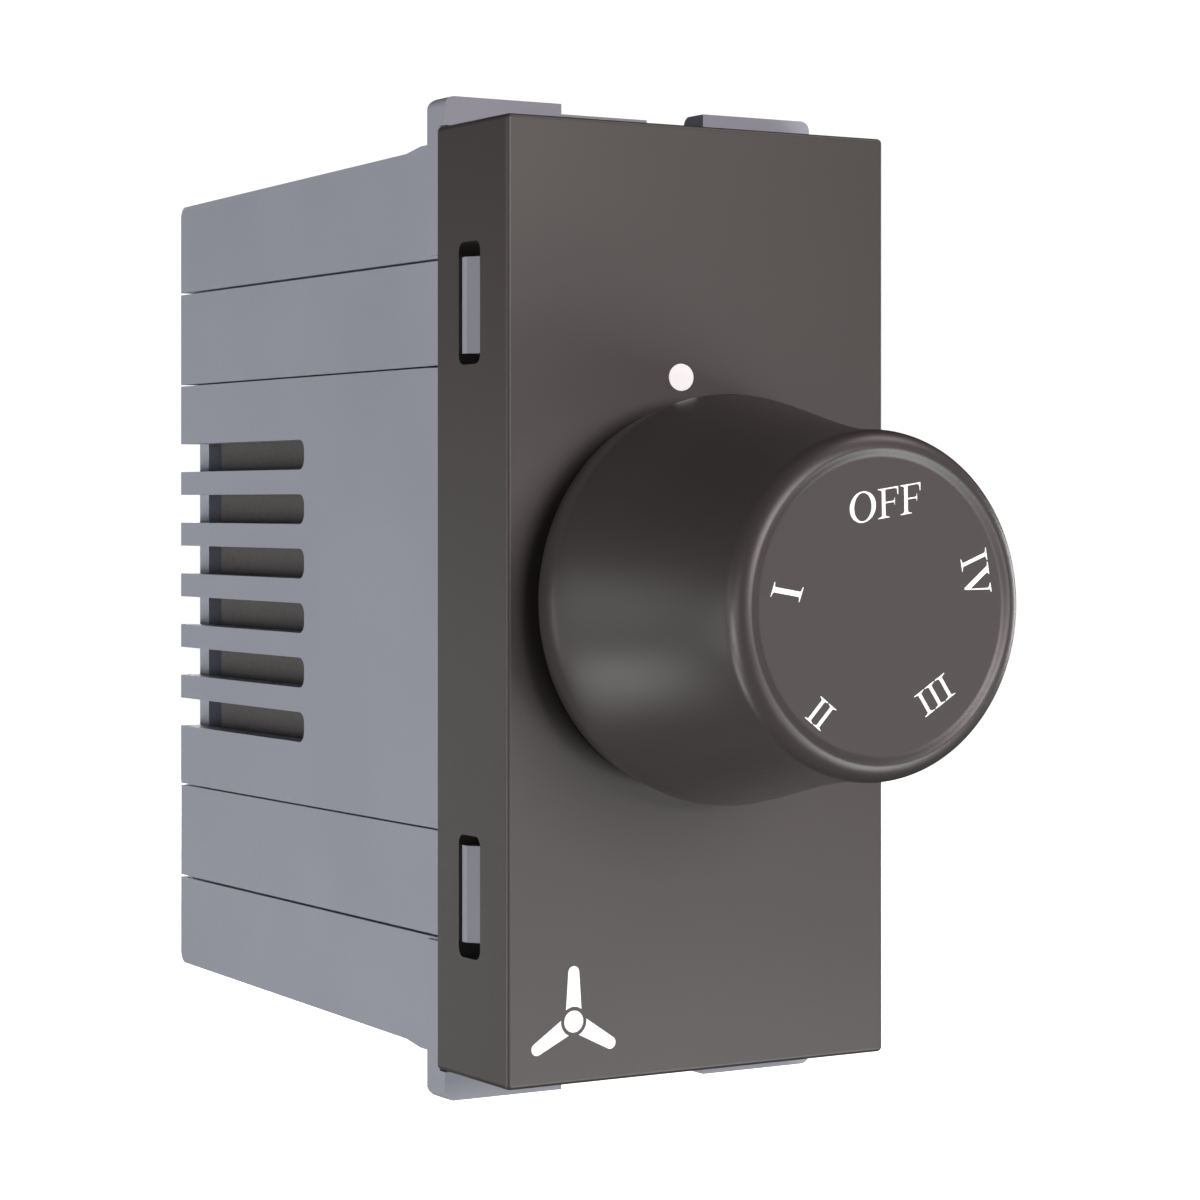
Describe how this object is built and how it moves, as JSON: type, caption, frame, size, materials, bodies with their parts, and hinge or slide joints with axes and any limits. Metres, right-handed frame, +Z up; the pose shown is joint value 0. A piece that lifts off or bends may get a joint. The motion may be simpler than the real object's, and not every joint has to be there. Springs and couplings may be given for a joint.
{
  "type": "fan speed control switch",
  "caption": "Narrow modular wall switch with a waisted rotary knob, dark front cover and vented grey housing, for stepping a ceiling fan from off through its speeds.",
  "frame": {"origin": "centre of the module on the plane where the rear of the lugs meets the mounting frame", "axes": "+X to the right seen from the front, +Y to the rear into the wall box, +Z up"},
  "size_m": [0.0212, 0.0522, 0.0478],
  "materials": {
    "cover_plastic": "satin dark brown-grey moulding",
    "knob_plastic": "satin dark brown-grey moulding",
    "housing_plastic": "matt blue-grey moulding",
    "cup_plastic": "matt dark moulding",
    "capacitor_case": "smooth moulded case",
    "board_laminate": "pressed laminate",
    "switch_plastic": "matt black moulding",
    "shaft_plastic": "natural white moulding",
    "contact_brass": "stamped and turned brass",
    "spring_steel": "hard rolled strip",
    "screw_steel": "plated steel",
    "resistor_body": "lacquered body",
    "white_print": "pad-printed white marks"
  },
  "bodies": {
    "mechanism": {"front_cover": "cover_plastic", "chassis": "housing_plastic", "rear_housing": "housing_plastic", "capacitor_cup": "cup_plastic", "capacitor_upper": "capacitor_case", "capacitor_lower": "capacitor_case", "circuit_board": "board_laminate", "switch_housing": "switch_plastic", "switch_base": "switch_plastic", "switch_rivets": "contact_brass", "fixed_contacts": "contact_brass", "detent_spring": "spring_steel", "terminal_block_upper": "contact_brass", "terminal_block_lower": "contact_brass", "terminal_strap_upper": "contact_brass", "terminal_strap_lower": "contact_brass", "series_resistor_upper": "resistor_body", "series_resistor_lower": "resistor_body", "bleed_resistor_upper": "resistor_body", "bleed_resistor_lower": "resistor_body"},
    "knob_spindle": {"knob": "knob_plastic", "knob_clip": "spring_steel", "switch_shaft": "shaft_plastic", "wiper_contact": "contact_brass"},
    "plate_upper": {"pressure_plate_upper": "spring_steel"},
    "screw_upper": {"terminal_screw_upper": "screw_steel"},
    "plate_lower": {"pressure_plate_lower": "spring_steel"},
    "screw_lower": {"terminal_screw_lower": "screw_steel"}
  },
  "joints": [
    {"name": "knob_turn", "type": "hinge", "parent": "mechanism", "child": "knob_spindle", "pos_m": [0, -0.008, 0], "axis": [0, 1, 0], "range_deg": [0, 288], "deforming": ["detent_spring"]},
    {"name": "plate_upper_travel", "type": "slide", "parent": "mechanism", "child": "plate_upper", "axis": [0, 0, -1], "range_m": [0, 0.0022]},
    {"name": "screw_upper_turn", "type": "hinge", "parent": "plate_upper", "child": "screw_upper", "pos_m": [0, 0.023, 0.018], "axis": [0, 0, -1], "range_deg": [0, 1584]},
    {"name": "plate_lower_travel", "type": "slide", "parent": "mechanism", "child": "plate_lower", "axis": [0, 0, 1], "range_m": [0, 0.0022]},
    {"name": "screw_lower_turn", "type": "hinge", "parent": "plate_lower", "child": "screw_lower", "pos_m": [0, 0.023, -0.018], "axis": [0, 0, 1], "range_deg": [0, 1584]}
  ],
  "couplings": [
    {"joint": "screw_upper_turn", "follows": "plate_upper_travel", "rad_per_m": 12566},
    {"joint": "screw_lower_turn", "follows": "plate_lower_travel", "rad_per_m": 12566}
  ]
}
